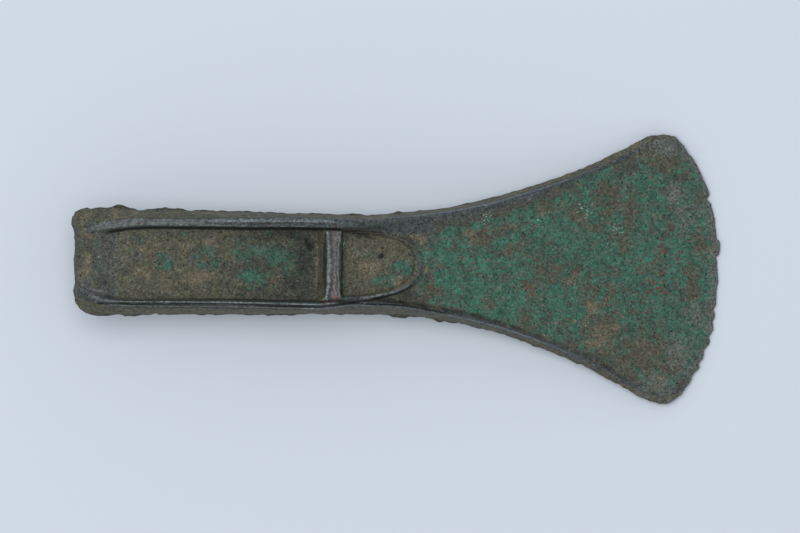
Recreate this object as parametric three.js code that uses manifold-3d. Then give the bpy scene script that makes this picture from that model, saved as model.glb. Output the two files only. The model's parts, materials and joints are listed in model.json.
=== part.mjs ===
// A Middle Bronze Age palstave: a cast bronze axe head with a haft slot on both
// faces, a stop ridge, a shield-shaped recess below it and a splayed blade.
// The forms are worked out in the axe's own frame, in millimetres: x runs from the
// butt to the cutting edge, y across, z out of the casting plane. At the end the
// axe is laid down as it comes to rest, on one pair of flanges and the edge.
import * as THREE from "three";
import { mergeGeometries, mergeVertices } from "three/addons/utils/BufferGeometryUtils.js";
import Module from "manifold-3d";

const { clamp, lerp } = THREE.MathUtils;

// ---- Plan ----
const LENGTH = 165.1; // butt to the middle of the cutting edge
// The two sides differ a little, as cast; right is +y. Widths are half widths, out to the
// casting seam, and splay is in mm of half width per mm squared: the sides are parabolas.
const SIDES = {
  right: { sign: 1, butt: 13.6, waist: 12.5, waistAt: 70, splay: 0.00359, corner: 2.8 },
  left: { sign: -1, butt: 13.75, waist: 12.65, waistAt: 77, splay: 0.0044, corner: 5 },
};
const BUTT_LOBE = 1.2; // the right corner of the butt runs out past it by this much
const LOBE_CENTRE = 10.6; // from the middle line
const LOBE_REACH = 3; // from the lobe's centre until it is gone
const ROOT = 88; // where the blade proper begins
const CORNER = 153.2; // x of the blade's corners
const CORNER_EASE_START = 144.5;
const CORNER_EASE = 0.047; // mm of half width lost per mm squared
const EDGE_RADIUS = 84;
const EDGE_CENTRE = -1.5; // the edge's furthest point lies a little to the left
const EDGE_ROUNDING_START = 18; // from the middle line
const EDGE_SPREAD = 1.4; // power: the station lines bow out late, near the edge

// ---- Thickness, measured from the casting plane ----
const SEPTUM = 3.6;
const EDGE = 0.4;
const CROWN = 0.35; // the blade's faces are this much higher along the middle
const FLANK_BELLY_WIDTH = 0.45; // share of the flank's width out to its belly
const FLANK_BELLY_HEIGHT = 0.62; // share of the crest's height there
const CREST_OUTER = 0.97; // share of the crest's height left at its outer line
const CREST_INNER = 0.98; // and at its inner line
const BEVEL_START = 147; // the faces steepen from here to the cutting edge

// ---- Haft slot and stop ridge ----
const SLOT_FLOOR_START = 10; // the floor is flat from here
const STOP_FOOT = 61; // and ends here
const STOP_LEAN = 1.3; // run of the stop's face
const STOP_WIDTH = 4.3; // between the two edges of its top
const STOP_HEIGHT = 11.4;
const STOP_SAG = 0.45; // lost half way between the flanges
const STOP_TROUGH = 0.3; // between its two edges
const STOP_WAIST = 0.75; // each edge draws in by this much half way along
const STOP_EDGE = STOP_FOOT + STOP_LEAN;
const STOP_END = STOP_EDGE + STOP_WIDTH;
const STOP_BACK = 0.7; // run of the face towards the blade

// ---- Shield recess ----
const SHIELD_START = STOP_END + 0.2;
const SHIELD_LENGTH = 20.1;
const SHIELD_HALF_WIDTH = 8.5;
const SHIELD_BLUNTNESS = { right: 2.8, left: 2.2 }; // superellipse powers; 2 is an ellipse
const SHIELD_DEEP = 6.0; // height of its floor at the stop
const SHIELD_SHALLOW = 7.8; // and at its tip
const SHIELD_DRAFT = 0.07; // its floor is this share smaller than its mouth
const SHIELD_SIDES = 26;
const RIM_RADIUS = 0.55; // the ridge around it is round and half sunk in the blade's face
const RIM_OUTSIDE = 0.1; // from the recess's mouth to the ridge's middle line
const RIM_SINK = 0.05;

const BRONZE = { color: 0x47574b, roughness: 0.62, metalness: 0.35 };

// A smooth curve through the points [x, value], level beyond both ends.
function profile(points) {
  const last = points.length - 1;
  const slopes = points.map((_, i) => {
    const [x0, v0] = points[Math.max(i - 1, 0)];
    const [x1, v1] = points[Math.min(i + 1, last)];
    return (v1 - v0) / (x1 - x0);
  });
  return (x) => {
    if (x <= points[0][0]) return points[0][1];
    if (x >= points[last][0]) return points[last][1];
    const i = points.findIndex((p) => p[0] > x) - 1;
    const span = points[i + 1][0] - points[i][0];
    const t = (x - points[i][0]) / span;
    const ease = t * t * (3 - 2 * t);
    const bend = span * t * (1 - t) * (slopes[i] * (1 - t) - slopes[i + 1] * t);
    return lerp(points[i][1], points[i + 1][1], ease) + bend;
  };
}

// Side profiles: half thickness along the axe.
const crestHeight = profile([
  [0, 2.9], [5, 5.0], [30, 8.6], [55, 12.2], [66, 13.2], [76, 11.9], [ROOT, 10.1],
  [104, 7.9], [120, 5.8], [136, 3.7], [BEVEL_START, 2.0], [CORNER, EDGE],
]);
const bladeHeight = profile([
  [STOP_END, 9.7], [ROOT, 8.5], [104, 6.9], [120, 5.0], [136, 3.1], [BEVEL_START, 1.7],
  [CORNER, EDGE],
]);
const buttHeight = profile([[0, 2.5], [5.5, 4.2], [SLOT_FLOOR_START, SEPTUM]]);

// Widths across each flange, in from the seam: its outer side, crest and inner side. On
// the right the inner side widens into one broad slope beside the shield.
SIDES.right.flank = profile([
  [0, 5.0], [3.5, 4.5], [7.5, 3.3], [13, 2.4], [30, 2.0], [56, 1.1], [66, 1.2], [72, 1.5],
  [80, 1.0], [92, 1.1], [118, 1.3], [130, 1.7], [142, 2.2], [CORNER, 2.2],
]);
SIDES.left.flank = profile([
  [0, 4.8], [3.5, 4.0], [7.5, 2.7], [12, 2.05], [24, 1.9], [39, 1.6], [61, 1.35], [69, 2.3],
  [81, 2.0], [91, 1.5], [104, 1.35], [125, 1.5], [142, 2.0], [CORNER, 2.2],
]);
SIDES.right.crest = profile([
  [0, 1.6], [5, 1.9], [10, 2.4], [19, 2.0], [32, 2.1], [45, 2.4], [60, 2.4], [66, 2.2], [80, 1.2],
  [95, 0.8], [CORNER, 0.7],
]);
SIDES.left.crest = profile([
  [0, 1.2], [5, 1.5], [12, 1.7], [24, 1.85], [39, 2.0], [61, 1.8], [70, 1.2], [81, 0.9],
  [95, 0.75], [CORNER, 0.7],
]);
SIDES.right.wall = profile([
  [0, 1.4], [12, 0.6], [64, 0.5], [70, 1.2], [80, 3.4], [ROOT, 5], [104, 3.6], [CORNER, 2.6],
]);
SIDES.left.wall = profile([
  [0, 1.4], [12, 0.6], [64, 0.5], [ROOT, 1.0], [104, 1.6], [125, 2.6], [CORNER, 2.6],
]);

const squareBeyond = (value, start) => Math.max(0, value - start) ** 2;

// Half width without the rounding of the butt's corners.
function sideLine(x, side) {
  const taper = lerp(side.butt, side.waist, clamp(x / side.waistAt, 0, 1));
  const splay = side.splay * squareBeyond(x, side.waistAt);
  return taper + splay - CORNER_EASE * squareBeyond(x, CORNER_EASE_START);
}

// How much of the half width the rounded corner of the butt leaves.
function buttShare(x, side) {
  const short = Math.max(0, side.corner - x);
  return 1 - (side.corner - Math.sqrt(side.corner ** 2 - short ** 2)) / sideLine(x, side);
}

// x of the cutting edge at a distance from the middle line.
function arcLine(y) {
  return LENGTH - EDGE_RADIUS + Math.sqrt(EDGE_RADIUS ** 2 - (y - EDGE_CENTRE) ** 2);
}
function edgeLine(y, side) {
  const corner = sideLine(CORNER, side);
  const lost = arcLine(corner * side.sign) - CORNER;
  const share = squareBeyond(Math.abs(y), EDGE_ROUNDING_START);
  return arcLine(y) - (lost * share) / squareBeyond(corner, EDGE_ROUNDING_START);
}

// Moves a point of the straight-edged blank to its place on the finished outline.
function drawOut(x, y, side) {
  const spread = clamp((x - ROOT) / (CORNER - ROOT), 0, 1) ** EDGE_SPREAD;
  const bow = edgeLine((y / sideLine(x, side)) * sideLine(CORNER, side), side) - CORNER;
  const fromLobe = clamp(1 - Math.abs(y - LOBE_CENTRE) / LOBE_REACH, 0, 1);
  const lobe = BUTT_LOBE * Math.sin((fromLobe * Math.PI) / 2) * clamp(1 - x / LOBE_REACH, 0, 1);
  return x + bow * spread - lobe;
}

// Height of the ground between the flanges.
function groundHeight(x, share) {
  const middle = 1 - share ** 2;
  const stopTop = STOP_HEIGHT - STOP_SAG * middle;
  if (x < SLOT_FLOOR_START) return buttHeight(x);
  if (x <= STOP_FOOT) return SEPTUM;
  if (x <= STOP_END) {
    const acrossTop = clamp((x - STOP_EDGE) / STOP_WIDTH, 0, 1);
    return stopTop - STOP_TROUGH * Math.sin(acrossTop * Math.PI);
  }
  const face = bladeHeight(x);
  return face + CROWN * middle * (face / bladeHeight(ROOT));
}

// How far the stop's edges draw in at a share of the way from the middle to the flange.
function stopWaist(x, share) {
  const pull = STOP_WAIST * (1 - share ** 2);
  if (x >= STOP_FOOT && x <= STOP_EDGE) return pull;
  if (x >= STOP_END && x <= STOP_END + STOP_BACK) return -pull;
  return 0;
}

const steps = (from, to, count) =>
  Array.from({ length: count }, (_, i) => from + ((to - from) * i) / count);

// Where the cross sections stand, closer together where the form turns.
const STATIONS = [
  0, 0.5, 1.6, ...steps(3, SLOT_FLOOR_START, 5), ...steps(SLOT_FLOOR_START, STOP_FOOT, 15),
  STOP_FOOT, ...steps(STOP_EDGE, STOP_END, 4), STOP_END,
  ...steps(STOP_END + STOP_BACK, ROOT, 9), ...steps(ROOT, BEVEL_START, 24),
  ...steps(BEVEL_START, CORNER, 4), CORNER,
];

// The lines that run from the butt to the edge on one side, from the seam to the middle.
const GROUND_SHARES = [0.86, 0.68, 0.5, 0.32, 0.12];
function acrossHalf(x, side) {
  const width = sideLine(x, side);
  const crestOut = width - side.flank(x);
  const crestIn = crestOut - side.crest(x);
  const foot = crestIn - side.wall(x);
  const crest = crestHeight(x);
  const rails = [
    [width, 0],
    [width - side.flank(x) * FLANK_BELLY_WIDTH, crest * FLANK_BELLY_HEIGHT],
    [crestOut, crest * CREST_OUTER],
    [(crestOut + crestIn) / 2, crest],
    [crestIn, crest * CREST_INNER],
    [foot, groundHeight(x, 1)],
    ...GROUND_SHARES.map((s) => [foot * s, groundHeight(x, s), s]),
  ];
  return rails.map(([out, z, share = 1]) => {
    const y = out * buttShare(x, side) * side.sign;
    return [drawOut(x, y, side) + stopWaist(x, share), y, z];
  });
}

// One face of the axe: a plane whose columns are the stations and rows the lines.
function faceGeometry() {
  const sections = STATIONS.map((x) => [
    ...acrossHalf(x, SIDES.left), ...acrossHalf(x, SIDES.right).reverse(),
  ]);
  const columns = STATIONS.length;
  const lines = sections[0].length;
  const face = new THREE.PlaneGeometry(1, 1, columns - 1, lines - 1);
  const position = face.attributes.position;
  sections.forEach((section, i) => {
    const atEnd = i === 0 || i === columns - 1;
    section.forEach(([x, y, z], j) => {
      position.setXYZ((lines - 1 - j) * columns + i, x, y, atEnd ? 0 : z);
    });
  });
  return bare(face);
}

// A geometry's positions alone, with each shared corner kept once.
function bare(geometry) {
  geometry.deleteAttribute("normal");
  geometry.deleteAttribute("uv");
  return mergeVertices(geometry, 1e-4);
}

// The other face is the same one turned over the casting plane.
function mirrored(face) {
  const other = face.clone().scale(1, 1, -1);
  const index = other.index.array;
  for (let i = 0; i < index.length; i += 3) {
    [index[i + 1], index[i + 2]] = [index[i + 2], index[i + 1]];
  }
  return other;
}

// The recess's curved edge, from -1 on its left to 1 on its right, grown by a margin.
function shieldEdge(turn, margin = 0) {
  const angle = (turn * Math.PI) / 2;
  const rounding = 2 / (turn > 0 ? SHIELD_BLUNTNESS.right : SHIELD_BLUNTNESS.left);
  const along = Math.abs(Math.cos(angle)) ** rounding;
  const across = Math.sign(turn) * Math.abs(Math.sin(angle)) ** rounding;
  return [(SHIELD_LENGTH + margin) * along, (SHIELD_HALF_WIDTH + margin) * across];
}

// A drafted prism on the recess's outline, whose foot is the recess's sloping floor.
function shieldCutter() {
  const turns = steps(-1, 1, SHIELD_SIDES).concat(1);
  const outline = new THREE.Shape(turns.map((t) => new THREE.Vector2(...shieldEdge(t))));
  const reach = STOP_HEIGHT * 2;
  const cutter = new THREE.ExtrudeGeometry(outline, {
    depth: reach, bevelEnabled: false,
  });
  const position = cutter.attributes.position;
  for (let i = 0; i < position.count; i++) {
    const along = position.getX(i);
    const atFloor = position.getZ(i) === 0;
    const inset = atFloor ? 1 - SHIELD_DRAFT : 1 + SHIELD_DRAFT;
    const floor = lerp(SHIELD_DEEP, SHIELD_SHALLOW, along / SHIELD_LENGTH);
    position.setXYZ(
      i, SHIELD_START + along * inset, position.getY(i) * inset, atFloor ? floor : reach,
    );
  }
  return bare(cutter);
}

// The middle line of the ridge that runs round the recess, from flange to flange.
class RimLine extends THREE.Curve {
  getPoint(t, target = new THREE.Vector3()) {
    const [along, across] = shieldEdge(t * 2 - 1, RIM_OUTSIDE);
    const x = SHIELD_START + along;
    const share = Math.min(1, Math.abs(across) / SHIELD_HALF_WIDTH);
    return target.set(x, across, groundHeight(x, share) - RIM_SINK);
  }
}

function rimGeometry() {
  const section = new THREE.Shape().absarc(0, 0, RIM_RADIUS, 0, Math.PI * 2);
  return bare(new THREE.ExtrudeGeometry(section, {
    steps: SHIELD_SIDES, curveSegments: 8, extrudePath: new RimLine(),
  }));
}

const wasm = await Module();
wasm.setup();

function solidOf(geometry) {
  const merged = mergeVertices(geometry, 1e-4);
  return new wasm.Manifold(new wasm.Mesh({
    numProp: 3,
    vertProperties: merged.attributes.position.array,
    triVerts: new Uint32Array(merged.index.array),
  }));
}

function geometryOf(solid) {
  const mesh = solid.getMesh();
  const geometry = new THREE.BufferGeometry();
  geometry.setAttribute("position", new THREE.BufferAttribute(mesh.vertProperties, 3));
  geometry.setIndex(new THREE.BufferAttribute(mesh.triVerts, 1));
  geometry.computeVertexNormals();
  return geometry;
}

function axeHead() {
  const face = faceGeometry();
  const rim = rimGeometry();
  const cutter = shieldCutter();
  const casting = solidOf(mergeGeometries([face, mirrored(face)]))
    .add(solidOf(rim))
    .add(solidOf(mirrored(rim)))
    .subtract(solidOf(cutter))
    .subtract(solidOf(mirrored(cutter)));
  const head = new THREE.Mesh(geometryOf(casting), new THREE.MeshStandardMaterial(BRONZE));
  head.name = "axe_head";
  return head;
}

// Lays the axe down: the line from the edge's underside that just clears the lower
// flanges becomes the ground, and the middle of the footprint the origin.
function layDown(head) {
  const tilt = Math.max(
    ...STATIONS.filter((x) => x < ROOT).map((x) =>
      Math.atan2(crestHeight(x) - EDGE, LENGTH - x)),
  );
  head.rotation.y = tilt;
  const box = new THREE.Box3().setFromObject(head, true);
  const middle = box.getCenter(new THREE.Vector3());
  head.position.set(-middle.x, -middle.y, -box.min.z);
  return head;
}

const axe = new THREE.Group();
axe.add(layDown(axeHead()));

export default axe;
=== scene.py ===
# %% [markdown]
# # A bronze axe head with three thousand years of patina
# The axe is one casting: two flanges that gripped a split wooden haft, a stop ridge
# that the haft butted against, a shield-shaped recess and a splayed blade. The packed
# casting is loaded first, because every place below is worked out from it.

# %% Load the casting
import json
import math

import bpy
import numpy as np
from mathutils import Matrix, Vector

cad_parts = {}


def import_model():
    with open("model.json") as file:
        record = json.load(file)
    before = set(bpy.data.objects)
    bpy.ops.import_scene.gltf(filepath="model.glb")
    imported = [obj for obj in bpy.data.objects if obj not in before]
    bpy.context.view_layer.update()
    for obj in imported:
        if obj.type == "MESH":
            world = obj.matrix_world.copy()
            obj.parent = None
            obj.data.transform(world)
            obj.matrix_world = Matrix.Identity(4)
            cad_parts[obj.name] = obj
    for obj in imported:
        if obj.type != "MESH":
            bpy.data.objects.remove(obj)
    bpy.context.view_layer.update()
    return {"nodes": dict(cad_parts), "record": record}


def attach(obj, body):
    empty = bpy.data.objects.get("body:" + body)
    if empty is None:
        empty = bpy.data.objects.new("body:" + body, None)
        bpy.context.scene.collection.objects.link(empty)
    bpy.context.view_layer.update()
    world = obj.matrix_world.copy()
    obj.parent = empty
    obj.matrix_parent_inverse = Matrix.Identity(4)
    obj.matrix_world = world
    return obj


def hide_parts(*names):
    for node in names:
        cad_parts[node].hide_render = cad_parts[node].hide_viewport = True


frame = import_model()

bpy.ops.object.select_all(action="DESELECT")
casting = frame["nodes"]["axe_head"]
print("casting:", len(casting.data.polygons), "triangles")

# %% [markdown]
# ## The axe's own frame
# The axe lies tilted, on its lower flanges and its edge, so "along the axe" isn't quite
# along X. Every mark on it is easier to place in its own frame: x from the butt to the
# edge, y across, z out of the plane where the two halves of the mould met. The tilt is
# read from the haft seat's mount, and the rest from the casting's extent.

# %% Find the own frame
MM = 0.001
LOBE = 1.2  # mm that the butt's worn right corner runs out past it


def vertex_places(mesh):
    places = np.empty(len(mesh.vertices) * 3, np.float32)
    mesh.vertices.foreach_get("co", places)
    return places.reshape(-1, 3).astype(float)


seat = next(m for m in frame["record"]["mounts"] if m["name"] == "haft_seat_upper")
tilt = math.atan2(seat["axis"][0], seat["axis"][2])
to_own = np.array([
    [math.cos(tilt), 0, -math.sin(tilt)],
    [0, 1, 0],
    [math.sin(tilt), 0, math.cos(tilt)],
])
turned = vertex_places(casting.data) @ to_own.T / MM
own_zero = np.array([
    turned[:, 0].min() + LOBE, seat["pos_m"][1] / MM,
    (turned[:, 2].min() + turned[:, 2].max()) / 2,
])


def own(places):
    return places @ to_own.T / MM - own_zero


def world(points):
    return (points + own_zero) @ to_own * MM


print(f"tilt {math.degrees(tilt):.2f} degrees, length {np.ptp(turned[:, 0]):.1f} mm")

# %% [markdown]
# ## The outline
# Wear and patina follow the edge of the casting, so each point has to know how far in
# from it it lies. The outline could be typed in again, but measuring it on the casting's
# seam, side by side because the two differ, keeps both in step.

# %% Measure the outline
ON_SEAM = 0.02  # mm from the seam's plane
WINDOW = 2.2  # mm along the axe in which the widest point is taken
STATIONS = np.linspace(0, 165, 331)

seam = turned - own_zero
seam = seam[np.abs(seam[:, 2]) < ON_SEAM]


def outline(side):
    """The half width at each station, on one side."""
    edge = seam[seam[:, 1] * side > 0]
    widths = np.array([
        np.max(np.abs(edge[np.abs(edge[:, 0] - x) < WINDOW, 1]), initial=0)
        for x in STATIONS
    ])
    return np.convolve(np.pad(widths, 3, mode="edge"), np.ones(7) / 7, "valid")


outlines = {side: outline(side) for side in (1, -1)}
print("widest half:", round(float(outlines[1].max()), 1), "mm")

# %% [markdown]
# ## The flange and the other landmarks
# Across the axe, a flange is a sloping flank, a narrow crest and an inner wall. Their
# widths change along the axe, and the smith left the two sides unlike. A table for each
# says where on a flange a point is, which is simpler than picking faces by hand.

# %% State the landmarks
# Places along the axe, and the widths there in mm, on the right (1) and the left (-1).
FLANK = {
    1: ([0, 3.5, 7.5, 13, 30, 56, 66, 72, 80, 92, 118, 130, 142, 153],
        [5.0, 4.5, 3.3, 2.4, 2.0, 1.1, 1.2, 1.5, 1.0, 1.1, 1.3, 1.7, 2.2, 2.2]),
    -1: ([0, 3.5, 7.5, 12, 24, 39, 61, 69, 81, 91, 104, 125, 142, 153],
         [4.8, 4.0, 2.7, 2.05, 1.9, 1.6, 1.35, 2.3, 2.0, 1.5, 1.35, 1.5, 2.0, 2.2]),
}
CREST = {
    1: ([0, 5, 10, 19, 32, 45, 60, 66, 80, 95, 153],
        [1.6, 1.9, 2.4, 2.0, 2.1, 2.4, 2.4, 2.2, 1.2, 0.8, 0.7]),
    -1: ([0, 5, 12, 24, 39, 61, 70, 81, 95, 153],
         [1.2, 1.5, 1.7, 1.85, 2.0, 1.8, 1.2, 0.9, 0.75, 0.7]),
}
WALL = {
    1: ([0, 12, 64, 70, 80, 88, 104, 153], [1.4, 0.6, 0.5, 1.2, 3.4, 5.0, 3.6, 2.6]),
    -1: ([0, 12, 64, 88, 104, 125, 153], [1.4, 0.6, 0.5, 1.0, 1.6, 2.6, 2.6]),
}
STOP = (62.3, 66.6)
STOP_WAIST = 0.75
SHIELD = {"start": 66.8, "length": 20.1, "half_width": 8.5, "blunt": {1: 2.8, -1: 2.2}}
EDGE = {"tip": 165.1, "radius": 84, "middle": -1.5, "corner_start": 18, "corner_fall": 0.0135}
print("stop ridge", round(STOP[1] - STOP[0], 1), "mm wide, recess", SHIELD["length"], "mm long")

# %% [markdown]
# ## Roughness that repeats exactly
# Corroded metal is rough at every scale. A small lattice noise gives smooth bumps of
# any size, the same on every run, for shaping the mesh and for laying out the patina.

# %% Lattice noise
def lattice(cells, seed):
    """A number from -1 to 1 for each whole-numbered cell."""
    h = (cells[..., 0] * 374761393 + cells[..., 1] * 668265263
         + cells[..., 2] * 1442695041 + seed * 974634777) & 0xFFFFFFFF
    h = ((h ^ (h >> 13)) * 1274126177) & 0xFFFFFFFF
    h = ((h ^ (h >> 15)) * 2246822519) & 0xFFFFFFFF
    return (h ^ (h >> 16)) / 2147483648 - 1


def bumps(points, size, seed=1):
    """Smooth noise from about -1 to 1, with bumps of that size in mm."""
    scaled = points / size + seed * 17.31
    cell = np.floor(scaled).astype(np.int64)
    part = scaled - cell
    part = part * part * (3 - 2 * part)
    total = 0
    for dx in (0, 1):
        for dy in (0, 1):
            for dz in (0, 1):
                weight = np.prod(
                    np.where([dx, dy, dz], part, 1 - part), axis=-1)
                total = total + weight * lattice(cell + [dx, dy, dz], seed)
    return total


def rough(points, size, seed=1, octaves=3):
    """Bumps upon bumps, each half as big as the last."""
    layers = [bumps(points, size / 2**i, seed + i) * 0.5**i for i in range(octaves)]
    return sum(layers)


def ease(value, low, high):
    """0 below low, 1 above high, with a soft turn at both."""
    t = np.clip((value - low) / (high - low), 0, 1)
    return t * t * (3 - 2 * t)


def near(distance, reach):
    return np.exp(-((distance / reach) ** 2))


print("noise at the origin:", round(float(bumps(np.zeros((1, 3)), 1.0)[0]), 3))

# %% [markdown]
# ## A fine skin to carve
# The casting's facets are the true form, but too coarse for wear and pits. A copy is
# merged, because a loaded mesh is loose triangles, and a voxel Remesh rebuilds it as
# even quads of a third of a millimetre. Smoothing then eases the cast corners.

# %% Copy, merge and remesh
SKIN = 0.33 * MM

axe = bpy.data.objects.new("patinated_axe_head", casting.data.copy())
bpy.context.scene.collection.objects.link(axe)
axe.select_set(True)
bpy.context.view_layer.objects.active = axe
axe.data.materials.clear()

bpy.ops.object.mode_set(mode="EDIT")
bpy.ops.mesh.select_all(action="SELECT")
bpy.ops.mesh.remove_doubles(threshold=1e-6)
bpy.ops.object.mode_set(mode="OBJECT")


def apply_modifier(kind, **settings):
    bpy.ops.object.modifier_add(type=kind)
    modifier = axe.modifiers[-1]
    for name, value in settings.items():
        setattr(modifier, name, value)
    bpy.ops.object.modifier_apply(modifier=modifier.name)


apply_modifier("REMESH", mode="VOXEL", voxel_size=SKIN)
apply_modifier("SMOOTH", factor=0.5, iterations=2)
print("skin:", len(axe.data.vertices), "vertices")

# %% [markdown]
# ## Where each point lies
# Every carving step asks the same questions of a point: how far along and across it is,
# which face it is on, and how far in from the seam. They are answered once.

# %% Survey the skin
def both(x, side, lists):
    """A value listed along the axe, from the list of the side that each point is on."""
    return np.where(side > 0, np.interp(x, *lists[1]), np.interp(x, *lists[-1]))


def survey(points):
    x, y, z = points.T
    side = np.where(y >= 0, 1, -1)
    width = both(x, side, {key: (STATIONS, widths) for key, widths in outlines.items()})
    flank, crest, wall = (both(x, side, widths) for widths in (FLANK, CREST, WALL))
    place = {
        "x": x, "y": y, "z": z, "side": side, "face": np.where(z >= 0, 1, -1),
        "inset": width - np.abs(y), "width": width, "crest_out": flank,
        "crest_in": flank + crest, "foot": flank + crest + wall,
    }
    blunt = np.where(side > 0, SHIELD["blunt"][1], SHIELD["blunt"][-1])
    along = np.clip((x - SHIELD["start"]) / SHIELD["length"], 0, 2) ** blunt
    across = (np.abs(y) / SHIELD["half_width"]) ** blunt
    place["shield"] = (along + across) ** (1 / blunt)  # 1 on the recess's edge
    reach = np.hypot(x - SHIELD["start"], y) / np.maximum(place["shield"], 0.1)
    place["from_rim"] = (place["shield"] - 1) * reach
    # The cutting edge: how far a point is from it, measured along x.
    arc = EDGE["tip"] - EDGE["radius"] + np.sqrt(EDGE["radius"]**2 - (y - EDGE["middle"]) ** 2)
    corner = np.maximum(np.abs(y) - EDGE["corner_start"], 0) ** 2 * EDGE["corner_fall"]
    place["from_edge"] = arc - corner - x
    return place


points = own(vertex_places(axe.data))
here = survey(points)
upper = here["face"] > 0
print("skin reaches", points.min(0).round(1), "to", points.max(0).round(1))

# %% [markdown]
# ## Flange crests
# Hammering the flanges over the haft left each crest with a line along it. On the left
# flange (-y) it is a sharp groove between a thin inner lip and a broad outer crest. On
# the right the crest is dished, then stepped. Grooves could be cut with a Boolean, but
# points moved by a soft profile give worn, rounded lines with no new faces.

# %% Groove and dish the crests
def band(value, low, high, soft):
    """1 between low and high, falling to 0 over soft on both sides."""
    return ease(value, low - soft, low) * (1 - ease(value, high, high + soft))


GROOVE = ([0, 6, 12, 24, 39, 61, 66, 70, 75, 81, 85, 90, 96, 110],
          [2.6, 2.95, 2.86, 2.76, 2.59, 2.05, 2.7, 3.0, 2.5, 2.55, 2.3, 2.0, 1.7, 1.6])


def flange_sides(place):
    """The points that stand up on the left flange, and those on the right."""
    tall = np.abs(place["z"]) > 2
    return (place["side"] < 0) * tall, (place["side"] > 0) * tall


def waver(place, seed):
    """A line's small wandering from side to side, along the axe."""
    return bumps(np.c_[place["x"], 0 * place["x"], 0 * place["x"]], 9, seed)


def off_groove(place):
    """How far in from the groove's middle line a point of the left flange lies."""
    return place["inset"] - np.interp(place["x"], *GROOVE) - 0.15 * waver(place, 5)


on_left, on_right = flange_sides(here)
groove = near(off_groove(here), 0.24) * band(here["x"], 6, 92, 5) * on_left
lip = near(off_groove(here) - 0.55, 0.32) * band(here["x"], 8, 64, 5) * on_left
step = ease(here["inset"], here["crest_out"] + 1.2, here["crest_out"] + 1.5)
step = step * (1 - ease(here["inset"], here["crest_in"], here["crest_in"] + 0.4))
step = step * band(here["x"], 34, 62, 5) * on_right
dish = near(here["inset"] - here["crest_out"] - 1.1, 0.55)
dish = dish * band(here["x"], 8, 34, 5) * on_right
points[:, 2] += here["face"] * (0.22 * lip - 0.75 * groove - 0.35 * step - 0.22 * dish)
print("groove cut over", int((groove > 0.5).sum()), "points")

# %% [markdown]
# ## Stop ridge and shield
# The stop ridge has a raised lip along each of its two edges, and a low rim runs round
# the shield. On the right the rim melts into the flange's broad slope. On the left a
# narrow ditch follows it, and a valley parts it from the flange. All four are added to
# the skin by their distance from a line, so they bend and fade as the lines do.

# %% Raise the lips and the rim
def stop_lip_mask(place):
    """1 along the two edges of the stop's top, which draw in towards the middle."""
    share = np.clip(np.abs(place["y"]) / 8.4, 0, 1)
    waist = STOP_WAIST * (1 - share**2)
    wobble = 0.2 * bumps(np.c_[0 * place["y"], place["y"], 0 * place["y"]], 3.2, 15)
    lips = np.maximum(
        near(place["x"] - STOP[0] - waist - 0.35 + wobble, 0.5),
        near(place["x"] - STOP[1] + waist + 0.35 + wobble, 0.5))
    inside = ease(place["inset"], place["crest_in"] - 0.2, place["crest_in"] + 0.5)
    return lips * inside * (np.abs(place["z"]) > 8)


def rim_mask(place):
    """1 along the top of the ridge round the shield; on the right it melts into the slope."""
    line = near(place["from_rim"] - 0.25, 0.45) * (place["x"] > STOP[1])
    line = line * (np.abs(place["z"]) > 7)
    return line * np.where(place["side"] < 0, 1, 0.5 * ease(place["x"], 76, 84))


stop_lips = stop_lip_mask(here)
rim = rim_mask(here)
points[:, 2] += here["face"] * (0.3 * stop_lips + 0.22 * rim)
print("lips and rim raised over", int((stop_lips + rim > 0.5).sum()), "points")

# %% Cut the valley and the ditch
beside = here["inset"] - here["crest_in"] - 0.2
valley = ease(here["from_rim"], 0.7, 1.5) * ease(beside, -0.2, 0.5)
valley = valley * band(here["x"], 70, 84, 7) * on_left
valley = valley * (1 - ease(here["from_rim"], 3.0, 6.5) * ease(beside, 0.6, 2.5))
ditch = near(here["from_rim"] - 1.15, 0.35) * band(here["x"], 68, 83, 3) * on_left
points[:, 2] -= here["face"] * (0.75 * valley + 0.55 * ditch)
print("valley cut over", int((valley > 0.5).sum()), "points")

# %% [markdown]
# ## The ragged seam
# Metal that ran into the joint of the mould stands out as a thin, broken fin along both
# sides. A Displace modifier would roughen it evenly. Here the seam's points are pushed
# out by noise of three sizes, and the larger knobs and nicks are placed one by one.

# %% Push out the fin
KNOBS = [  # x, side, height, half length: in mm
    (11.2, 1, 0.75, 2.6), (16.2, 1, -0.6, 0.7), (22.5, 1, 0.35, 3.5), (45.5, 1, -0.3, 0.8),
    (70.6, 1, 0.5, 1.6), (74.2, 1, -0.35, 0.8), (82.0, 1, 0.3, 1.2),
    (14.5, -1, 0.3, 2.2), (20.4, -1, -0.4, 0.6), (60.2, -1, -0.5, 1.1), (83.0, -1, 0.55, 2.0),
    (92.8, -1, 0.4, 1.2), (98.0, -1, -0.35, 0.9), (112.5, -1, 0.3, 1.4),
]
FIN_OUT = 0.12  # mm that the fin stands out on the whole


def fin(place):
    line = np.c_[place["x"], 40.0 * place["side"], 0 * place["x"]]
    ragged = 0.22 * bumps(line, 1.1, 11) + 0.24 * bumps(line, 2.6, 12)
    ragged = ragged + 0.2 * bumps(line, 6, 13)
    for x, side, height, half in KNOBS:
        ragged = ragged + height * near(place["x"] - x, half) * (place["side"] == side)
    return ragged + FIN_OUT


on_seam = near(here["z"] - 0.15 * waver(here, 6), 0.8)
on_seam = on_seam * (1 - ease(here["inset"], 0.6, 1.6))
on_seam = on_seam * ease(here["x"], 0.5, 3) * (1 - ease(here["x"], 150, 156))
points[:, 1] += here["side"] * fin(here) * on_seam
print("fin stands out by up to", round(float((fin(here) * on_seam).max()), 2), "mm")

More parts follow.
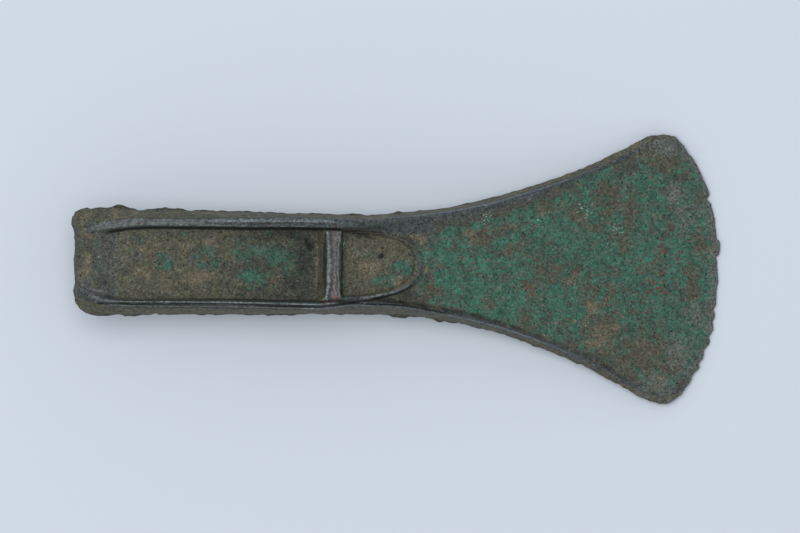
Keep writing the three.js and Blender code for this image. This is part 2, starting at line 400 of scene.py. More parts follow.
# %% [markdown]
# ## The worn cutting edge and butt
# The edge is chipped: a serrated stretch on its left half, one notch and a lifted flake
# on its right. Points near it are drawn back along x, less and less further in, so the
# edge stays thin where it is broken. The butt was never worked, and is only lumpy.

# %% Chip the edge
CHIPS = [  # y, depth, half width: in mm
    (17.6, 1.1, 0.8), (15.3, 0.35, 1.2), (24.0, 0.25, 1.3), (3.0, 0.45, 1.1),
    (-10.4, 0.5, 0.8), (-13.6, 0.35, 0.9), (-17.4, 0.7, 0.9), (-20.6, 0.9, 1.4),
    (-24.2, 0.7, 0.9), (-27.4, 0.8, 1.1),
]
across = np.c_[0 * here["y"], here["y"], 0 * here["y"]]
chipped = 0.25 * bumps(across, 1.3, 21) + 0.22 * bumps(across, 3.1, 22)
for y, depth, half in CHIPS:
    chipped = chipped + depth * near(here["y"] - y, half)
flake = band(here["y"], 3.4, 7.0, 0.5)
chipped = chipped - 0.7 * flake
near_edge = 1 - ease(here["from_edge"], 0.2, 3.2)
points[:, 0] -= chipped * near_edge * ease(here["x"], 140, 150)
points[:, 2] += 0.35 * flake * (1 - ease(here["from_edge"], 1.0, 2.2)) * upper
print("deepest chip", round(float((chipped * near_edge).max()), 2), "mm")

# %% Batter the butt
at_butt = 1 - ease(here["x"], 0.5, 3.5)
points[:, 0] -= at_butt * 0.3 * rough(points, 3.0, 31)
print("butt battered over", int((at_butt > 0.5).sum()), "points")

# %% [markdown]
# ## Pits and casting skin
# The faces are gently uneven, and corrosion has eaten small round pits. The crests,
# which hands and soil have rubbed, stay smoother. A bump map would do from above, but
# real pits also break the outline and are part of the mesh. They follow the
# skin's normals, and deep marks that catch the eye are placed one by one.

# %% Roughen the faces
normals = np.empty(len(axe.data.vertices) * 3, np.float32)
axe.data.vertex_normals.foreach_get("vector", normals)
normals = normals.reshape(-1, 3).astype(float) @ to_own.T
rubbed = band(here["inset"], here["crest_out"], here["crest_in"], 0.35) * (here["x"] > 3)
slope = ease(here["from_rim"], 0.1, 0.6) * band(here["x"], 67, 120, 8) * on_right
slope = slope * (1 - ease(here["inset"], here["foot"] - 1.0, here["foot"] + 0.4))
rubbed = np.maximum.reduce([rubbed, stop_lips, rim, slope])
uneven = 0.16 * rough(points, 7.0, 41) + 0.07 * rough(points, 1.7, 44)
pitted = ease(bumps(points, 0.85, 47), 0.25, 0.75)
pitted = pitted + 0.8 * ease(bumps(points, 1.6, 48), 0.45, 0.8)
relief = uneven * (1 - 0.55 * rubbed) - 0.13 * pitted * (1 - 0.8 * rubbed)
relief = relief * ease(np.minimum(here["from_edge"] + 1.2, np.abs(here["z"]) + 0.9), 0, 2.2)
points += normals * relief[:, None]
print("relief from", relief.min().round(2), "to", relief.max().round(2), "mm")

# %% Press in the deep marks
DENTS = [  # x, y, length, width, depth: on the upper face, in mm
    (77.2, 2.9, 1.4, 0.85, 0.6), (5.9, -4.8, 0.55, 0.5, 0.5), (59.6, 6.0, 1.3, 1.1, 0.45),
    (7.0, 5.6, 0.6, 0.4, 0.3), (112.6, 8.0, 1.3, 0.9, 0.2), (153.4, 20.6, 2.4, 2.3, 0.22),
    (147.0, -29.5, 2.2, 2.2, -0.25), (157.2, 2.6, 0.9, 0.7, 0.35),
    (96.0, -3.2, 0.8, 0.6, 0.25),
]

for x, y, length, width, depth in DENTS:
    reach = near(np.hypot((here["x"] - x) / length, (here["y"] - y) / width), 1)
    points[:, 2] -= depth * reach * upper * (here["z"] > 0.2)
axe.data.vertices.foreach_set("co", world(points).ravel())
axe.data.update()
print(len(DENTS), "deep marks")

# %% [markdown]
# ## Keep the mesh usable
# Quads this small are wasted on the plain stretches. The Decimate modifier's collapse
# keeps the small faces where the surface turns and merges them where it is flat.

# %% Thin the plain stretches
MOST_TRIANGLES = 190000

quads = len(axe.data.polygons)
apply_modifier("DECIMATE", ratio=min(1.0, MOST_TRIANGLES / (2 * quads)))
bpy.ops.object.shade_smooth()
axe.select_set(False)
print(quads, "quads became", len(axe.data.polygons), "triangles")

# %% [markdown]
# ## Laying out the patina
# Buried bronze takes its colour in layers. They could be painted with a brush, but that
# needs an image and a UV map. Instead each layer gets a mask from 0 to 1 on the mesh's
# points: broad zones that follow the form, and patches set one by one where a colour
# gathers. The material breaks up their edges later.

# %% Survey the finished skin
points = own(vertex_places(axe.data))
here = survey(points)
upper = here["face"] > 0
on_left, on_right = flange_sides(here)
stop_lips = stop_lip_mask(here)
rim = rim_mask(here)
print(len(points), "points to colour")

# %% Patches and clouds
def patches(spots, seed):
    """The strongest of some ragged ovals: x, y, length, width, strength, on the upper face."""
    total = np.zeros(len(points))
    warp_x = 1.3 * rough(points, 4, seed, 3)
    warp_y = 1.3 * rough(points, 4, seed + 5, 3)
    for x, y, length, width, strength in spots:
        away = np.hypot(
            (points[:, 0] - x + warp_x) / length, (points[:, 1] - y + warp_y) / width)
        total = np.maximum(total, strength * (1 - ease(away, 0.2, 1.5)))
    return total * upper


def clouds(size, seed, low, high):
    """Drifting patches all over, with no edge of their own."""
    return ease(rough(points, size, seed), low, high)


def along(low, high, soft):
    """1 over a stretch of the axe, fading past both of its ends."""
    return band(here["x"], low, high, soft)


print(f"clouds cover {clouds(5, 71, -0.1, 1.1).mean():.0%}")

# %% [markdown]
# ### Zones that follow the form
# The slot and the recess held wood and soil, the blade lay open to the ground, and the
# crests were rubbed. Each zone is read from the survey. They overlap with soft edges,
# as the real ones do.

# %% Zones
in_slot = ease(here["x"], 5, 9) * (1 - ease(here["x"], 60.5, 61.5))
in_slot = in_slot * ease(here["inset"], here["crest_in"] - 0.2, here["crest_in"] + 0.3)
in_shield = (1 - ease(here["from_rim"], -0.6, 0.0)) * (here["x"] > STOP[1])
on_blade = ease(here["x"], 84, 92) * ease(here["from_rim"], 0.3, 1.6)
inner = ease(here["inset"], here["foot"] - 2.2, here["foot"] + 0.6)
on_flank = 1 - ease(here["inset"], here["crest_out"] - 0.35, here["crest_out"] + 0.05)
on_crest = band(here["inset"], here["crest_out"], here["crest_in"], 0.2) * (here["x"] > 2)
inside = here["inset"] > here["crest_in"]
slope = ease(here["from_rim"], 0.1, 0.6) * along(66, 118, 6) * on_right
slope_foot = np.where(here["x"] < 90, here["foot"], here["crest_in"] + 2.2)
slope = slope * (1 - ease(here["inset"], slope_foot - 1.6, slope_foot + 0.2)) * (1 - on_flank)
print(f"blade {on_blade.mean():.0%}, slot {in_slot.mean():.0%}, flanks {on_flank.mean():.0%}")

# %% [markdown]
# ### Verdigris and brown oxide
# Green verdigris covers most of the blade and gathers in a few pools in the slot. Brown
# oxide breaks through it. Patches put both where they catch the eye on the upper face,
# and on the lower face clouds are enough.

# %% Verdigris
verdigris = np.maximum(
    on_blade * inner * (0.76 + 0.2 * rough(points, 8, 61)),
    patches([
        (22.5, 0.2, 2.6, 2.6, 1.1), (33, 2.2, 4.0, 3.4, 0.75), (33.5, -1.6, 3.4, 1.6, 0.85),
        (43.5, 3.0, 5.5, 3.2, 0.8), (45.5, -3.6, 4.2, 3.2, 0.85), (52, 1.0, 5, 5, 0.7),
        (82.5, -1.6, 3.0, 2.4, 0.95), (78, -4.6, 4.4, 1.8, 0.85), (14, 2, 3, 1.6, 0.5),
        (16, 6.2, 2.2, 0.9, 0.8), (97, -9, 7, 4, 1.1), (91, 1.5, 4, 5, 1.1),
        (103, -8, 9, 4, 1.1),
        (88, 3.0, 1.6, 2.0, 1.0), (95, 3, 5, 4, 1.0), (108, 1, 9, 5, 0.9), (118, 5, 6, 5, 0.85),
        (124, -2, 8, 7, 0.9), (136, 2, 7, 8, 1.0), (145, 6, 7, 6, 0.95), (146, -6, 8, 6, 1.0),
        (140, 12, 8, 4, 0.95), (133, 22, 7, 3, 0.85), (150, -16, 5, 3, 0.8),
        (139, -22, 5, 3, 0.6),
        (72, 2.5, 3.5, 3, 0.4),
    ], 63))
verdigris = np.maximum(verdigris, ~upper * clouds(11, 65, -0.3, 0.7) * inner)
print(f"verdigris {verdigris.mean():.0%}")

# %% Brown oxide
brown = np.maximum(
    clouds(5, 71, -0.1, 1.1) * 0.62,
    patches([
        (102, 6.5, 4.5, 2.6, 0.85), (108, 15.5, 6, 2.0, 0.8), (119, 15, 3.2, 2.4, 0.8),
        (137, 18, 3.6, 3, 0.9), (141, 13.5, 2.4, 5, 0.85), (132, 9.5, 4, 2.4, 0.7),
        (120, -1.5, 5, 3, 0.6), (134, -16, 7, 5, 0.8), (143, -22, 9, 7, 0.85),
        (136, -7, 4, 3, 0.6),
        (152, -24, 5, 5, 0.85), (95, -12.0, 5, 1.8, 0.85), (90, -6.5, 3.4, 2.4, 0.85),
        (82, -8.6, 4, 1.5, 0.9), (76, 6.0, 4.5, 2.0, 0.8), (150, 27, 6, 5, 0.75),
        (158, -6, 2.2, 8, 0.6), (159, 6, 2.2, 6, 0.65), (110, 10, 4, 2, 0.7),
        (62, 5, 2.5, 3, 0.5),
        (44, 5.4, 7, 2, 0.6), (12, 5, 4, 2.4, 0.6), (113.5, 3, 2.2, 1.8, 0.7),
        (126, 14, 3, 2, 0.7),
    ], 73))
print(f"brown {brown.mean():.0%}")

# %% [markdown]
# ### Soil and clay
# Olive soil is packed into the slot and the recess and clings to the butt and flanks,
# but not over the green pools. Paler clay sits on it in lumps. Soil and clay also go up
# the stop's wall, partly as painted light on that lit wall, and the right flank gets
# more clay than the left, as painted light on the lit side.

# %% Soil
soil = np.maximum.reduce([
    in_slot * (0.66 + 0.24 * rough(points, 6, 81)),
    in_shield * (0.86 + 0.16 * rough(points, 4, 82)),
    on_flank * (0.8 + 0.2 * rough(points, 3, 83)),
    (1 - ease(here["x"], 4.5, 6.5)) * (0.62 + 0.3 * rough(points, 4, 84)) * (1 - on_flank),
    ~upper * clouds(8, 85, -0.2, 0.8) * 0.7,
    # Painted light, partly real soil: the stop's wall is kept pale because it is lit.
    along(60.6, 61.9, 0.25) * inside * 0.95,
])
# Less soil towards the stop, so the slot's floor darkens there: partly greener patina, partly
# painted shade of the deep corner by the stop.
soil = np.clip(soil - 0.4 * in_slot * ease(here["x"], 36, 50) * upper, 0, 1)
soil = soil * (1 - 0.9 * ease(verdigris, 0.15, 0.7) * np.maximum(in_slot, in_shield))
print(f"soil {soil.mean():.0%}")

# %% Clay
tan = patches([
    (27.5, 4.8, 3.4, 1.3, 0.9), (34.5, 4.8, 2.4, 1.3, 0.85), (30.5, -3.6, 4.2, 1.9, 1.0),
    (12.5, 0.6, 1.6, 1.4, 0.8), (16.5, -3.4, 2.2, 1.6, 0.7), (22, -5.4, 3, 1.4, 0.55),
    (18.5, 3.0, 3.4, 1.6, 0.55), (2.6, -1.2, 1.3, 2.4, 1.0), (3.0, 6.0, 1.4, 1.5, 0.8),
    (8.5, -1.0, 1.4, 2.4, 0.5), (74.5, -1.2, 3.2, 1.9, 0.95), (80.5, -3.9, 2.0, 1.6, 0.8),
    (70, 3.5, 2.4, 3.0, 0.5), (88.7, -0.2, 0.9, 2.6, 0.85), (86.2, 7.2, 1.6, 1.5, 0.7),
    (136.5, -15.8, 1.9, 2.0, 0.6), (132, -11, 2.2, 2.4, 0.6), (134, -18, 3.4, 2.4, 0.6),
    (148.5, -29.5, 2.4, 2.0, 0.8), (156, -21.5, 1.5, 1.1, 0.6), (146.2, -27, 1.5, 0.8, 0.8),
    (163.4, 5.2, 0.9, 1.7, 1.0), (119.5, 14.5, 2, 1.0, 0.5), (99, 7.5, 1.4, 0.9, 0.6),
    (143, 29, 3, 1.2, 0.5), (126, -4.5, 2.4, 1.4, 0.5),
], 91)
# Painted light, partly real clay: paler still up the stop's wall, which is lit.
on_wall = along(60.9, 62.4, 0.3) * inside
tan = np.maximum(tan, on_wall * (0.6 + 0.3 * rough(points, 1.5, 94)))
# Painted light: the right flank, on the lit side, gets about twice the clay of the left.
lit_flank_share = np.where(here["side"] > 0, 0.95, 0.5)
tan = np.maximum(tan, on_flank * clouds(2.2, 92, -0.1, 0.9) * lit_flank_share)
print(f"clay {tan.mean():.0%}")

# %% [markdown]
# ### Cuprite
# Under the green, bronze turns to red cuprite, which breaks through in specks. One set
# of patches lies on the blade, and a tighter one in the corners of the stop and slot.

# %% Cuprite
rust_red = np.maximum(
    patches([
        (150, 2, 9, 10, 0.8), (148, -5, 8, 7, 0.75), (156, 0, 5, 8, 0.7), (146, 8, 6, 4, 0.6),
        (104, 2, 3, 2, 0.5), (91, 0.5, 2, 2, 0.5), (95, 7.5, 1.2, 0.8, 0.7),
        (89.5, -10.5, 2, 0.9, 0.7), (150, 24, 3, 2, 0.4), (117, 2, 4, 3, 0.4),
    ], 93),
    patches([
        (32.6, 0.9, 1.1, 1.0, 1.3), (62.4, -9.4, 1.7, 0.6, 1.3), (64.6, -8.2, 1.5, 1.3, 1.3),
        (52, -9.9, 1.6, 0.6, 0.9), (57, 9.0, 3.2, 0.4, 0.7), (39, -9.8, 1.0, 0.4, 0.8),
    ], 95))
print(f"cuprite {rust_red.mean():.0%}")

# %% [markdown]
# ### Rubbed metal
# Where hands and soil rubbed it, the metal is dark slate: the crests, the rim, the slope
# and the top of the stop. Thin bright lines along its lips and edges are partly rubbed
# metal and partly painted highlight. The stop's top has a purple cast, and the blade is
# bare and steel grey along the edge.

# %% Slate
slate = np.maximum.reduce([
    on_crest, rim, slope,
    along(STOP[0] - 0.1, STOP[1] + 0.2, 0.25) * (here["inset"] > here["crest_in"] - 0.3),
    along(6.0, 9.0, 3.0) * inside * (0.5 + 0.3 * rough(points, 2.5, 100)),
    patches([(4, -8.0, 4.5, 2.4, 1.0), (2.5, -5.6, 2.2, 1.0, 0.9), (8, -8, 3, 1.6, 0.8)], 97),
    patches([(16, 1.4, 2, 1.2, 0.8), (24.5, 1.2, 1.4, 1.2, 0.7), (29, 1.6, 0.7, 2.6, 0.7)], 99),
    (1 - inner) * (here["inset"] > here["crest_out"]) * (here["x"] > 92) * 0.3,
])
print(f"slate {slate.mean():.0%}")

# %% Bright lines: rubbed metal and painted highlights
seam_line = here["inset"] - here["crest_out"]
# Painted highlight on top of some real rubbing: pale lines on the left lip, the crest edges,
# the stop's lips and the rim, where light would glint.
wear_and_highlight = np.maximum.reduce([
    near(off_groove(here) - 0.55, 0.26) * along(10, 63, 3) * on_left * 0.75,
    near(seam_line - 0.12, 0.16) * along(58, 140, 6) * on_left * 0.8,
    near(seam_line - 0.2, 0.2) * along(72, 145, 6) * on_right * 0.7,
    band(seam_line, 0.25, 1.0, 0.2) * along(36, 64, 5) * on_right * 0.6,
    near(here["inset"] - here["crest_in"] + 0.15, 0.22) * along(12, 60, 3) * on_right * 0.8,
    stop_lips * 0.75, rim * on_left * (1 - ease(here["x"], 83, 86.5)),
]) * (0.75 + 0.35 * rough(points, 1.2, 111))
print(f"bright lines {wear_and_highlight.mean():.0%}")

# %% Purple and steel grey
purple = np.maximum(
    along(STOP[0] + 1.2, STOP[1] - 1.2, 0.5) * (here["inset"] > here["crest_in"] - 0.8)
    * (np.abs(here["z"]) > 8),
    patches([
        (86.6, -0.4, 0.9, 1.6, 1.0), (64.3, 8.6, 2.4, 1.2, 0.7), (5.5, -7.5, 3, 1.4, 0.6),
    ], 113))

grey_edge = np.maximum(
    1 - ease(here["from_edge"] + 0.9 * rough(points, 3, 101), 0.6, 5.0),
    patches([(153.0, 19.6, 2.5, 2.4, 1.1), (150, 31, 6, 3.2, 0.8), (148, -30, 6, 5, 0.6),
             (156, 13, 4, 6, 0.6), (155, -22, 4.5, 6, 0.6), (158, -12, 3, 5, 0.5)], 103))
grey_edge = grey_edge * ease(here["x"], 138, 146)
print(f"purple {purple.mean():.0%}, steel grey {grey_edge.mean():.0%}")

# %% [markdown]
# ### Painted shade, grime and pale crystals
# Black is painted along the grooves, the ditch, the recess's edge, the feet of the flange
# walls and of the stop, and in the deep marks: painted shade where these hollows are
# shaded, with some real grime. The outline is darker all along. A few pale crystals of a
# late corrosion stand out from it. Both are small, so they are last.

# %% Grime and painted shade
# Painted shadow: a dark line just inside the left crest on the blade.
left_edge_shadow = band(here["inset"], here["crest_in"] + 0.1, here["crest_in"] + 0.9, 0.5)
left_edge_shadow = left_edge_shadow * (0.7 + 0.4 * rough(points, 3, 106))
# Painted shade with some real grime: the left groove, both walls' feet, the ditch, the recess's
# right edge, beside the stop and the deep marks; the outline is darker too.
grime_and_shade = np.maximum.reduce([
    near(off_groove(here), 0.24) * along(7, 92, 4) * on_left,
    near(here["inset"] - here["foot"] + 0.1, 0.4) * along(9, 66, 3) * on_right,
    near(off_groove(here) - 1.35, 0.16) * along(30, 62, 6) * on_left * 0.75,
    near(here["from_rim"] - 1.1, 0.32) * along(66, 84, 2) * on_left,
    near(here["from_rim"] + 0.1, 0.24) * along(68, 84, 3) * on_right * 0.9,
    left_edge_shadow * along(80, 112, 8) * on_left * upper * 0.75,
    left_edge_shadow * along(112, 138, 8) * on_left * upper * 0.5,
    near(here["x"] - STOP[1] - 0.45 + 0.3 * waver(here, 8), 0.28)
    * (here["inset"] > here["foot"]) * (np.abs(here["z"]) > 5) * 0.75,
    (1 - ease(here["inset"], 0.0, 0.5)) * 0.55,
    patches([(76.0, 2.2, 1.3, 0.9, 1.1), (6.5, -5.0, 0.6, 0.5, 1.2), (58.5, 5.8, 1.4, 1.6, 0.9),
             (57, 1, 3.4, 6, 0.5), (55, -5, 4, 2.6, 0.45), (112.6, 8.0, 1.2, 0.8, 0.7),
             (52, 7, 8, 1.4, 0.5), (72, 7.2, 4, 1.0, 0.6), (84, -8.5, 4, 1.5, 0.5)], 105),
])
print(f"grime {grime_and_shade.mean():.0%}")

# %% Pale crystals
pale = patches([
    (61.8, -7.9, 0.75, 0.7, 1.5), (103.5, 12.6, 2.6, 1.4, 0.75), (128, 14.5, 4, 2.4, 0.6),
    (138, 9.5, 2.6, 1.6, 0.8), (66.9, 5.6, 0.5, 0.8, 1.1), (66.5, 3.8, 0.4, 0.6, 1.0),
    (4.6, 0.6, 0.4, 0.5, 1.2), (43, 11.4, 0.5, 0.25, 1.2), (131, -14, 1.4, 1.6, 0.7),
    (139.5, -11.4, 0.5, 0.9, 0.9), (144, -19, 3, 2, 0.45), (74.6, -1.6, 0.25, 0.25, 1.4),
    (118, 11, 6, 3, 0.45), (80.8, 1.2, 0.5, 0.4, 1.0),
], 115)
print(f"pale crystals {pale.mean():.0%}")

# %% [markdown]
# ### Masks on the mesh
# Each mask becomes a point attribute, one number for every point of the mesh, which the
# material then reads by its name.

# %% Store the masks
MASKS = {
    "verdigris": verdigris, "brown": brown, "soil": soil, "tan": tan, "rust_red": rust_red,
    "slate": slate, "wear_and_highlight": wear_and_highlight, "purple": purple, "grey_edge": grey_edge, "grime_and_shade": grime_and_shade,
    "pale": pale,
}
for name, values in MASKS.items():
    attribute = axe.data.attributes.new(name, "FLOAT", "POINT")
    attribute.data.foreach_set("value", np.clip(values, 0, 1).astype(np.float32))
    print(f"{name:10s} covers {np.clip(values, 0, 1).mean():.0%}")

# %% [markdown]
# ## Shader helpers
# Nodes could be placed by hand in the editor, but a dozen layers repeat the same few. One
# helper adds a node, sets its inputs and links whatever is given as a socket. Colours
# are read as a paint chip would be, from 0 to 255, and turned into the linear values
# that the shader needs.

# %% Node helpers
def chip(red, green, blue):
    return tuple(
        c / 12.92 if c <= 0.04045 else ((c + 0.055) / 1.055) ** 2.4
        for c in (red / 255, green / 255, blue / 255)
    ) + (1.0,)


def add(tree, kind, inputs=None, **settings):
    node = tree.nodes.new(kind)
    for name, value in settings.items():
        setattr(node, name, value)
    for name, value in (inputs or {}).items():
        if isinstance(value, bpy.types.NodeSocket):
            tree.links.new(value, node.inputs[name])
        else:
            node.inputs[name].default_value = value
    return node


def maths(tree, operation, a, b):
    return add(tree, "ShaderNodeMath", {0: a, 1: b}, operation=operation).outputs[0]


def layer(tree, under, over, mask):
    """One colour laid over another where the mask says."""
    return add(tree, "ShaderNodeMix", {0: mask, 6: under, 7: over}, data_type="RGBA").outputs[2]


def noise(tree, size_mm, detail, roughness, seed=0.0):
    """Noise with bumps of that size. A seed moves it, so that no two layers match."""
    where = add(tree, "ShaderNodeTexCoord").outputs["Object"]
    moved = add(tree, "ShaderNodeMapping", {
        "Vector": where, "Location": (seed, seed / 3, -seed)}).outputs[0]
    return add(tree, "ShaderNodeTexNoise", {
        "Vector": moved, "Scale": 1 / (size_mm * MM), "Detail": detail,
        "Roughness": roughness,
    }).outputs[0]


def spread(tree, value, low=0.0, high=1.0):
    """Noise stays near its middle, so 0.3 to 0.7 of it is stretched from low to high."""
    return add(tree, "ShaderNodeMapRange", {
        0: value, 1: 0.3, 2: 0.7, 3: low, 4: high}).outputs[0]


print("paint chip for worn bronze:", [round(c, 3) for c in chip(84, 90, 91)])

# %% [markdown]
# ## Groups: broken edges and specks
# Patina never ends on a clean line. The first group tears a soft mask along a coarse
# noise and stipples it with a fine one, so that each layer shows through the next. The
# second scatters specks: it keeps only the peaks of a noise, and the cover says how
# many. Every layer uses them with its own sizes, so they are built once, as groups.

# %% Group helpers
NUMBER = "NodeSocketFloat"


def new_group(name, inputs):
    """A group with numbers going in and one mask coming out."""
    tree = bpy.data.node_groups.new(name, "ShaderNodeTree")
    for label, value in inputs.items():
        socket = tree.interface.new_socket(label, in_out="INPUT", socket_type=NUMBER)
        socket.default_value = value
    tree.interface.new_socket("Mask", in_out="OUTPUT", socket_type=NUMBER)
    return tree, tree.nodes.new("NodeGroupInput"), tree.nodes.new("NodeGroupOutput")


def group_noise(tree, start, scale, detail, roughness):
    where = add(tree, "ShaderNodeTexCoord").outputs["Object"]
    moved = add(tree, "ShaderNodeVectorMath", {
        0: where, 1: start.outputs["Shift"]}, operation="ADD").outputs[0]
    return add(tree, "ShaderNodeTexNoise", {
        "Vector": moved, "Scale": scale, "Detail": detail, "Roughness": roughness,
    }).outputs[0]


def finish_group(tree, end, value, low, high):
    """Turns the value into a mask, with a soft step from low to high."""
    mask = add(tree, "ShaderNodeMapRange", {
        0: value, 1: low, 2: high}, interpolation_type="SMOOTHSTEP").outputs[0]
    tree.links.new(mask, end.inputs["Mask"])


print("helpers ready for", NUMBER)

# %% Group: broken edges
PER_METRE = 1000.0  # mm
STIPPLE_SCALE = 1300.0


def broken_edges():
    tree, start, end = new_group("patina_edge", {
        "Mask": 0.5, "Size mm": 1.5, "Tear": 1.0, "Stipple": 2.0, "Shift": 0.0})
    scale = maths(tree, "DIVIDE", PER_METRE, start.outputs["Size mm"])

    def pull(size, detail, amount):
        wave = group_noise(tree, start, size, detail, 0.65)
        return maths(tree, "MULTIPLY", maths(tree, "SUBTRACT", wave, 0.5), amount)

    torn = maths(tree, "ADD", start.outputs["Mask"], pull(scale, 4.0, start.outputs["Tear"]))
    torn = maths(tree, "ADD", torn, pull(STIPPLE_SCALE, 3.0, start.outputs["Stipple"]))
    finish_group(tree, end, torn, 0.08, 0.92)
    return tree


ragged = broken_edges()
print("group:", ragged.name, len(ragged.nodes), "nodes")

# %% Group: specks
RAREST = 0.74  # the height of noise that no cover at all leaves
COVER_DROP = 0.3
SPECK_EDGE = 0.06


def speck_group():
    tree, start, end = new_group("patina_specks", {"Cover": 0.3, "Size mm": 0.5, "Shift": 0.0})
    scale = maths(tree, "DIVIDE", PER_METRE, start.outputs["Size mm"])
    fine = group_noise(tree, start, scale, 2.0, 0.55)
    drop = maths(tree, "MULTIPLY", start.outputs["Cover"], COVER_DROP)
    low = maths(tree, "SUBTRACT", RAREST, drop)
    finish_group(tree, end, fine, low, maths(tree, "ADD", low, SPECK_EDGE))
    return tree


specks = speck_group()
print("group:", specks.name, len(specks.nodes), "nodes")

# %% [markdown]
# ## The patina
# The layers go on about as they grew: dark bronze, verdigris, brown oxide, soil, clay,
# then slate on the rubbed crests, steel grey by the edge, the stop's purple cast and the
# bright lines of rubbed metal and painted highlight. Each is a mottle of a dark and a light
# chip, because corroded metal has no even colour anywhere. One material holds them all, so
# that they can tear into each other.

# %% Start the material
material = bpy.data.materials.new("bronze_patina")
material.use_nodes = True
tree = material.node_tree
shader = tree.nodes["Principled BSDF"]


def mask(name):
    return add(tree, "ShaderNodeAttribute", attribute_name=name).outputs["Fac"]


def blend(dark, light, amount):
    return layer(tree, chip(*dark), chip(*light), spread(tree, amount))


def torn(name, size, tear, stipple, shift):
    return add(tree, "ShaderNodeGroup", {
        "Mask": mask(name), "Size mm": size, "Tear": tear, "Stipple": stipple,
        "Shift": shift}, node_tree=ragged).outputs["Mask"]


def scattered(size, cover, shift):
    return add(tree, "ShaderNodeGroup", {
        "Size mm": size, "Cover": cover, "Shift": shift}, node_tree=specks).outputs["Mask"]


print("material:", material.name)

# %% Lay the colours
# Mask: dark chip, light chip, mottle (mm, detail, roughness, seed), and torn edge (mm,
# tear, stipple, shift).
LAYERS = {
    "verdigris": ((12, 50, 40), (56, 122, 100), (2.4, 7, 0.75, 0.02), (3.4, 3.5, 1.6, 0.01)),
    "brown": ((44, 40, 30), (92, 86, 68), (1.3, 6, 0.72, 0.03), (2.4, 2.8, 2.0, 0.02)),
    "soil": ((46, 46, 32), (106, 104, 82), (1.1, 6, 0.74, 0.04), (2.6, 2.6, 1.8, 0.03)),
    "tan": ((74, 68, 50), (128, 118, 96), (0.6, 4, 0.7, 0.05), (1.8, 2.4, 1.8, 0.04)),
    "slate": ((34, 40, 40), (82, 88, 88), (1.0, 5, 0.7, 0.06), (0.9, 1.4, 1.2, 0.05)),
    "grey_edge": ((60, 65, 61), (114, 120, 115), (0.6, 5, 0.75, 0.07), (1.2, 2.2, 2.8, 0.06)),
    "purple": ((50, 46, 45), (98, 92, 91), (0.5, 4, 0.7, 0.08), (0.8, 1.4, 1.4, 0.07)),
}

colour = blend((30, 36, 31), (74, 78, 66), noise(tree, 1.6, 5, 0.7))
edges = {}
for name, (dark, light, mottle, edge) in LAYERS.items():
    edges[name] = torn(name, *edge)
    colour = layer(tree, colour, blend(dark, light, noise(tree, *mottle)), edges[name])
# The pale chip of the rubbed lines and their painted highlight.
colour = layer(tree, colour, chip(110, 118, 121), torn("wear_and_highlight", 0.7, 1.6, 1.4, 0.08))
print(len(LAYERS) + 1, "layers over dark bronze")

# %% [markdown]
# ### Specks, grime, painted shade and grain
# Red cuprite, pale crystals and black pits lie on top as specks, and the painted shade
# with some grime goes over all of it. A last fine grain darkens and lightens every layer
# alike, as a crumbly surface does.

# %% Specks, grime and painted shade
RED, PALE, PIT, GRIME_AND_SHADE = (100, 52, 48), (126, 158, 136), (20, 23, 20), (16, 18, 17)

red_cover = maths(tree, "MULTIPLY", mask("rust_red"), 0.75)
pale_cover = maths(tree, "MAXIMUM", maths(tree, "MULTIPLY", mask("pale"), 0.9), 0.08)
colour = layer(tree, colour, chip(*RED), scattered(0.9, red_cover, 0.07))
colour = layer(tree, colour, chip(*PALE), scattered(0.5, pale_cover, 0.08))
colour = layer(tree, colour, chip(*PIT), scattered(0.6, 0.42, 0.09))
# Painted shade with some grime, near black, over all the layers.
colour = layer(tree, colour, chip(*GRIME_AND_SHADE), torn("grime_and_shade", 0.6, 1.0, 1.0, 0.1))
print("specks of", RED, PALE, PIT)

# %% Grain
shade = spread(tree, noise(tree, 0.62, 4, 0.8, 0.11), 0.22, 1.65)
lit = add(tree, "ShaderNodeVectorMath", {0: colour, 3: shade}, operation="SCALE")
tree.links.new(lit.outputs[0], shader.inputs["Base Color"])
print("base colour linked:", shader.inputs["Base Color"].is_linked)

# %% [markdown]
# ### Gloss and crumb
# Corrosion is dull, and only the rubbed metal has some gloss, so both roughness and
# metallic follow the slate's edge. A bump of less than half a millimetre adds the crumb
# that is too fine for the mesh, and it is fainter on the rubbed metal.

# %% Gloss and crumb
RUBBED_ROUGHNESS = 0.42
CRUMB_HEIGHT = 0.35 * MM

crumb = noise(tree, 0.6, 4, 0.7, 0.12)
smoother = maths(tree, "MULTIPLY", crumb, 0.45)
gloss = add(tree, "ShaderNodeMix", {
    0: edges["slate"], 2: spread(tree, crumb, 0.6, 0.9), 3: RUBBED_ROUGHNESS}).outputs[0]
tree.links.new(gloss, shader.inputs["Roughness"])
tree.links.new(maths(tree, "MULTIPLY", edges["slate"], 0.35), shader.inputs["Metallic"])

height = add(tree, "ShaderNodeMix", {0: edges["slate"], 2: crumb, 3: smoother}).outputs[0]
bump = add(tree, "ShaderNodeBump", {
    "Height": height, "Strength": 0.7, "Distance": CRUMB_HEIGHT}).outputs[0]
tree.links.new(bump, shader.inputs["Normal"])
print("nodes in the material:", len(tree.nodes))

# %% Dress the casting
axe.data.materials.append(material)
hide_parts("axe_head")
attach(axe, "root")
print("dressed:", axe.name, "with", axe.data.materials[0].name)

# %% [markdown]
# ## Floor and light
# The axe lies on a plain pale board. A bare sun would give hard shadows, so one broad
# soft lamp a metre up and a pale sky light it, and its shadows stay faint and short.

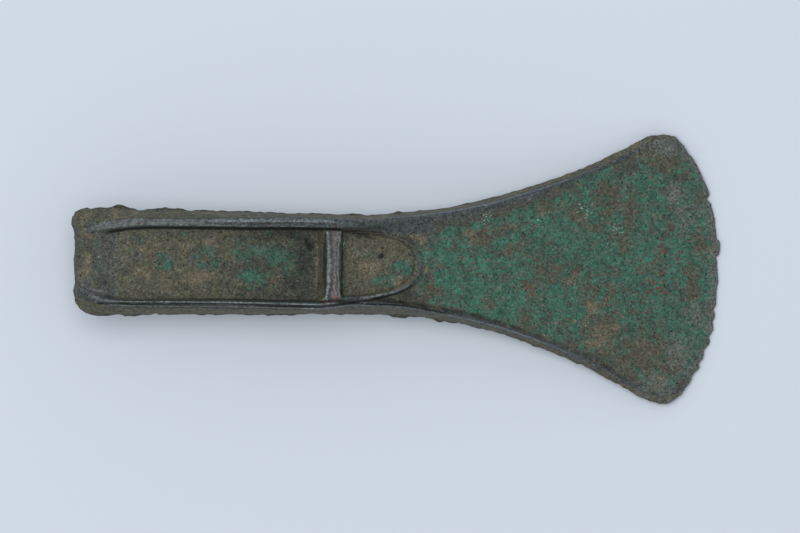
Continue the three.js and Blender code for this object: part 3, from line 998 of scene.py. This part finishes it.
# %% Lay the board
bpy.ops.object.select_all(action="DESELECT")
bpy.ops.mesh.primitive_plane_add(size=4)
board = bpy.context.object
board.name = "board"
pale_board = bpy.data.materials.new("pale_board")
pale_board.use_nodes = True
board_shader = pale_board.node_tree.nodes["Principled BSDF"]
board_shader.inputs["Base Color"].default_value = chip(205, 213, 223)
board_shader.inputs["Roughness"].default_value = 0.75
board_shader.inputs["Specular IOR Level"].default_value = 0.2
board.data.materials.append(pale_board)
print("board:", tuple(round(side, 1) for side in board.dimensions))

# %% Hang the lamp and the sky
LAMP = {"place": (-0.14, 0.09, 1.1), "size": 0.6, "watts": 6.0, "tint": (1.0, 0.99, 0.98)}
SKY = {"tint": (0.93, 0.97, 1.0, 1), "strength": 0.62}

light = bpy.data.lights.new("overhead", "AREA")
light.shape = "DISK"
light.size = LAMP["size"]
light.energy = LAMP["watts"]
light.color = LAMP["tint"]
lamp = bpy.data.objects.new("overhead", light)
bpy.context.scene.collection.objects.link(lamp)
lamp.location = LAMP["place"]
lamp.rotation_euler = (-Vector(LAMP["place"])).to_track_quat("-Z", "Y").to_euler()

sky = bpy.data.worlds.new("studio")
bpy.context.scene.world = sky
sky.use_nodes = True
background = sky.node_tree.nodes["Background"]
background.inputs["Color"].default_value = SKY["tint"]
background.inputs["Strength"].default_value = SKY["strength"]
print("lamp:", LAMP["watts"], "W")

# %% [markdown]
# ## Camera
# It looks straight down from far off through a long lens. A near one would spread the
# flanks and make the blade look too wide.

# %% Set the camera
SIGHT = {"across": 0.2028, "right": 0.00095, "up": -0.0001, "turn": math.radians(0.7)}
LENS = 600.0
MIDDLE_HEIGHT = 0.012

camera = bpy.data.objects.new("camera", bpy.data.cameras.new("camera"))
bpy.context.scene.collection.objects.link(camera)
camera.data.lens = LENS
camera.data.clip_end = 10
away = SIGHT["across"] * LENS / camera.data.sensor_width
camera.location = (SIGHT["right"], SIGHT["up"], away + MIDDLE_HEIGHT)
camera.rotation_euler = (0, 0, SIGHT["turn"])
bpy.context.scene.camera = camera
bpy.context.scene.view_settings.view_transform = "Standard"
print(f"camera {away:.2f} m up")
